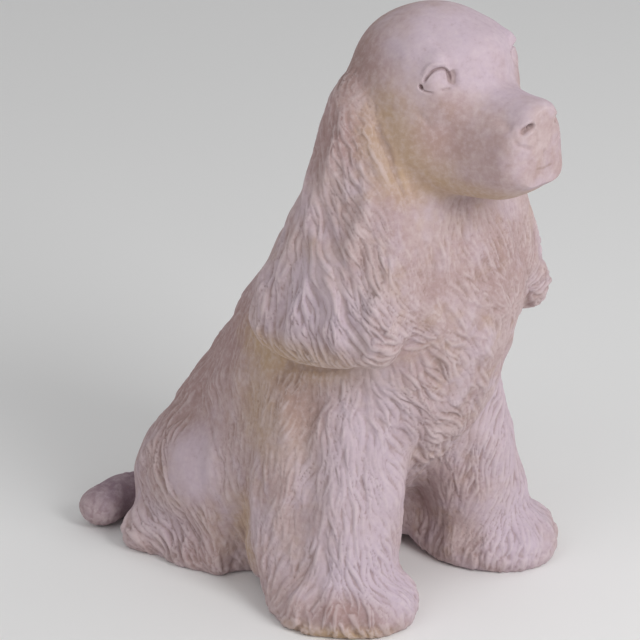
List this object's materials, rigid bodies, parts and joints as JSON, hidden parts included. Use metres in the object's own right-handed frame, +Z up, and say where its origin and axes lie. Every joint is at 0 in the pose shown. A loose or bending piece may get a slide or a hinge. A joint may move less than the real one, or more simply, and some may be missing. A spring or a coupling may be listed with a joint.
{
  "type": "garden dog statue",
  "caption": "Seated long-eared spaniel cast in pale pinkish stone in pinned and bonded sections, with wavy fur, feathered legs and flat soles, to stand on the ground as a garden ornament",
  "frame": {"origin": "On the ground under the dog, on the underside of the base plug, about midway between the forepaws and the rump", "axes": "+Z up, the dog faces -Y, its left side is +X"},
  "size_m": [0.257, 0.3593, 0.4395],
  "materials": {
    "torso_casting": "matte",
    "head_casting": "matte",
    "left_ear_casting": "matte",
    "right_ear_casting": "matte",
    "left_foreleg_casting": "matte",
    "right_foreleg_casting": "matte",
    "left_haunch_casting": "matte",
    "right_haunch_casting": "matte",
    "tail_casting": "matte",
    "base_plug": "matte",
    "dowel_steel": "brushed"
  },
  "bodies": {
    "root": {"torso_casting": "torso_casting", "head_casting": "head_casting", "left_ear_casting": "left_ear_casting", "right_ear_casting": "right_ear_casting", "left_foreleg_casting": "left_foreleg_casting", "right_foreleg_casting": "right_foreleg_casting", "left_haunch_casting": "left_haunch_casting", "right_haunch_casting": "right_haunch_casting", "tail_casting": "tail_casting", "base_plug": "base_plug", "neck_dowel_front": "dowel_steel", "neck_dowel_rear": "dowel_steel", "left_ear_dowel_upper": "dowel_steel", "right_ear_dowel_upper": "dowel_steel", "left_ear_dowel_middle": "dowel_steel", "right_ear_dowel_middle": "dowel_steel", "left_ear_dowel_lower": "dowel_steel", "right_ear_dowel_lower": "dowel_steel", "left_foreleg_dowel": "dowel_steel", "right_foreleg_dowel": "dowel_steel", "left_haunch_dowel_front": "dowel_steel", "right_haunch_dowel_front": "dowel_steel", "left_haunch_dowel_rear": "dowel_steel", "right_haunch_dowel_rear": "dowel_steel", "tail_dowel": "dowel_steel"}
  },
  "joints": []
}
